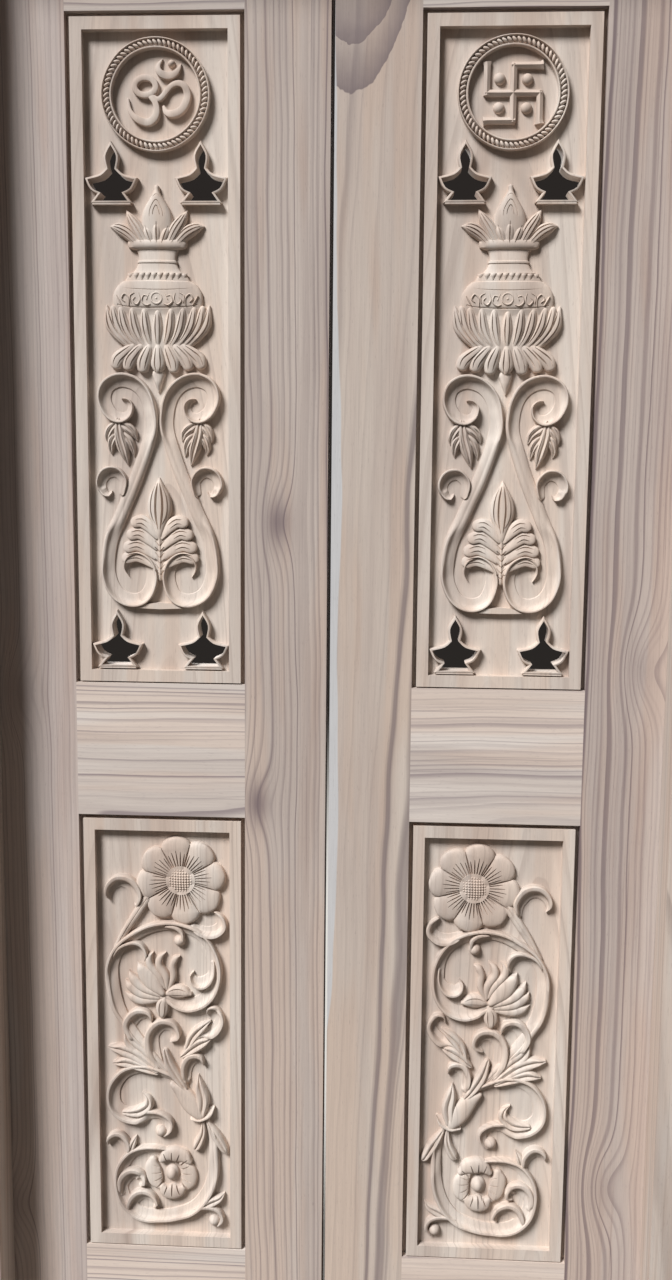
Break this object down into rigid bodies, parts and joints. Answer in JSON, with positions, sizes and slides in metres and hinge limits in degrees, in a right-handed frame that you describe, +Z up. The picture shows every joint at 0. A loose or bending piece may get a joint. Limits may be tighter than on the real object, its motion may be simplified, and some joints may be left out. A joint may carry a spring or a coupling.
{
  "type": "carved temple door",
  "caption": "Double-leaf door of raw teak with carved and pierced planks in joined leaves, hung on lift-off butt hinges in its own rebated frame.",
  "frame": {"origin": "centre of the sill's underside, in the middle of the frame's depth", "axes": "+Z up, -Y out of the carved face, +X to the right when the carved face is looked at"},
  "size_m": [1.065, 0.1185, 2.146],
  "materials": {
    "carved_teak": "raw carved teak, unoiled",
    "leaf_teak": "raw planed teak, unoiled",
    "frame_teak": "raw planed teak, unoiled",
    "hinge_steel": "zinc-plated steel, dull"
  },
  "bodies": {
    "frame": {"frame_head": "frame_teak", "frame_sill": "frame_teak", "frame_left_jamb": "frame_teak", "frame_right_jamb": "frame_teak", "frame_pegs": "frame_teak", "left_lower_frame_plate": "hinge_steel", "left_middle_frame_plate": "hinge_steel", "left_upper_frame_plate": "hinge_steel", "left_lower_hinge_pin": "hinge_steel", "left_middle_hinge_pin": "hinge_steel", "left_upper_hinge_pin": "hinge_steel", "right_lower_frame_plate": "hinge_steel", "right_middle_frame_plate": "hinge_steel", "right_upper_frame_plate": "hinge_steel", "right_lower_hinge_pin": "hinge_steel", "right_middle_hinge_pin": "hinge_steel", "right_upper_hinge_pin": "hinge_steel"},
    "left_leaf": {"left_meeting_stile": "leaf_teak", "left_hinge_stile": "leaf_teak", "left_top_rail": "leaf_teak", "left_middle_rail": "leaf_teak", "left_bottom_rail": "leaf_teak", "left_upper_panel": "carved_teak", "left_lower_panel": "carved_teak", "left_lower_leaf_plate": "hinge_steel", "left_middle_leaf_plate": "hinge_steel", "left_upper_leaf_plate": "hinge_steel"},
    "right_leaf": {"right_meeting_stile": "leaf_teak", "right_hinge_stile": "leaf_teak", "right_top_rail": "leaf_teak", "right_middle_rail": "leaf_teak", "right_bottom_rail": "leaf_teak", "right_upper_panel": "carved_teak", "right_lower_panel": "carved_teak", "right_lower_leaf_plate": "hinge_steel", "right_middle_leaf_plate": "hinge_steel", "right_upper_leaf_plate": "hinge_steel"}
  },
  "joints": [
    {"name": "left_leaf_swing", "type": "hinge", "parent": "frame", "child": "left_leaf", "pos_m": [-0.468, 0.059, 0], "axis": [0, 0, 1], "range_deg": [0, 110]},
    {"name": "right_leaf_swing", "type": "hinge", "parent": "frame", "child": "right_leaf", "pos_m": [0.468, 0.059, 0], "axis": [0, 0, -1], "range_deg": [0, 110]}
  ]
}
